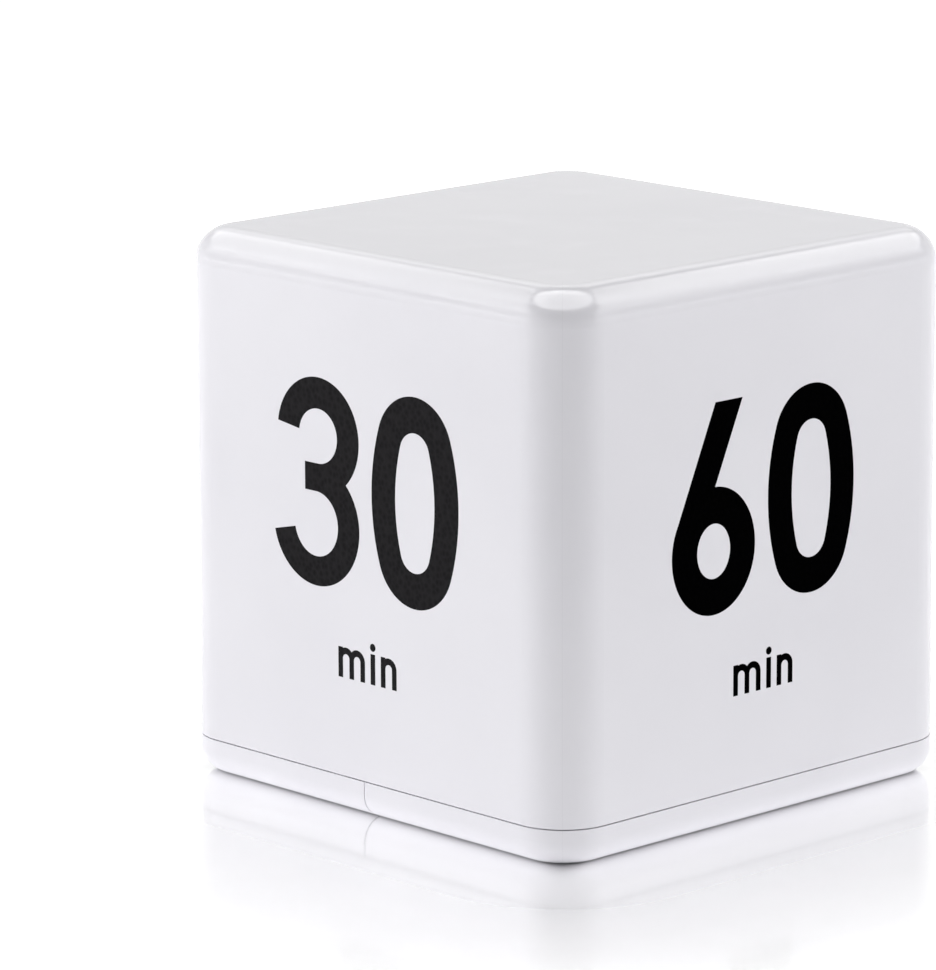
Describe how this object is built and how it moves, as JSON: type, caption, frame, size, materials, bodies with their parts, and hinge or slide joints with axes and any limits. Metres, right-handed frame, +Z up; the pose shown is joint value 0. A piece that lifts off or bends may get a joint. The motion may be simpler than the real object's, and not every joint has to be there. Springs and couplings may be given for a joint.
{
  "type": "cube timer",
  "caption": "White cube timer with a preset time printed on each side face, a slide switch, a sunken display and a sliding battery door in its control face.",
  "frame": {"origin": "bottom centre of the cube, on the surface it stands on", "axes": "+Z up with the control face down; 60 on +X, 15 on +Y, 20 on -X, 30 on -Y"},
  "size_m": [0.063, 0.063, 0.0635],
  "materials": {
    "case_white": "satin",
    "print_grey": "matt",
    "print_black": "satin",
    "screw_steel": "satin",
    "lever_black": "matt",
    "switch_steel": "satin",
    "pin_tin": "bright",
    "clear_cover": "polished",
    "display_glass": "polished",
    "segment_ink": "satin",
    "strip_rubber": "matt",
    "buzzer_black": "satin",
    "board_green": "satin",
    "resin_black": "glossy",
    "can_nickel": "bright",
    "chip_ceramic": "matt",
    "cell_wrap": "satin",
    "contact_nickel": "bright",
    "lead_red": "satin",
    "lead_black": "satin",
    "base_resin": "matt",
    "ball_gold": "polished"
  },
  "bodies": {
    "case": {"battery_lead_black": "lead_black", "battery_lead_red": "lead_red", "board_screws": "screw_steel", "buzzer": "buzzer_black", "buzzer_pins": "pin_tin", "case_screws": "screw_steel", "cell_inner": "cell_wrap", "cell_outer": "cell_wrap", "chip_blob": "resin_black", "chip_parts": "chip_ceramic", "contact_bridge": "contact_nickel", "contact_negative": "contact_nickel", "contact_positive": "contact_nickel", "control_panel": "case_white", "crystal": "can_nickel", "housing_shell": "case_white", "lcd_frame": "lever_black", "lcd_glass": "display_glass", "lcd_segments": "segment_ink", "lcd_window": "clear_cover", "main_board": "board_green", "marking_15": "print_black", "marking_20": "print_black", "marking_30": "print_grey", "marking_60": "print_black", "spring_bridge": "contact_nickel", "spring_negative": "contact_nickel", "switch_case": "switch_steel", "switch_pins": "pin_tin", "tilt_base_15": "base_resin", "tilt_base_20": "base_resin", "tilt_base_30": "base_resin", "tilt_base_60": "base_resin", "tilt_can_15": "can_nickel", "tilt_can_20": "can_nickel", "tilt_can_30": "can_nickel", "tilt_can_60": "can_nickel", "zebra_strip_inner": "strip_rubber", "zebra_strip_outer": "strip_rubber"},
    "door": {"battery_door": "case_white"},
    "switch": {"switch_knob": "case_white", "switch_actuator": "lever_black"},
    "ball_15": {"tilt_ball_15": "ball_gold"},
    "ball_20": {"tilt_ball_20": "ball_gold"},
    "ball_30": {"tilt_ball_30": "ball_gold"},
    "ball_60": {"tilt_ball_60": "ball_gold"}
  },
  "joints": [
    {"name": "door_slide", "type": "slide", "parent": "case", "child": "door", "axis": [1, 0, 0], "range_m": [0, 0.035]},
    {"name": "switch_slide", "type": "slide", "parent": "case", "child": "switch", "axis": [0, 1, 0], "range_m": [0, 0.004]},
    {"name": "ball_slide_15", "type": "slide", "parent": "case", "child": "ball_15", "axis": [0, -0.9781, 0.2079], "range_m": [0, 0.0024]},
    {"name": "ball_slide_20", "type": "slide", "parent": "case", "child": "ball_20", "axis": [0.9781, 0, 0.2079], "range_m": [0, 0.0024]},
    {"name": "ball_slide_30", "type": "slide", "parent": "case", "child": "ball_30", "axis": [0, 0.9781, 0.2079], "range_m": [0, 0.0024]},
    {"name": "ball_slide_60", "type": "slide", "parent": "case", "child": "ball_60", "axis": [-0.9781, 0, 0.2079], "range_m": [0, 0.0024]}
  ]
}
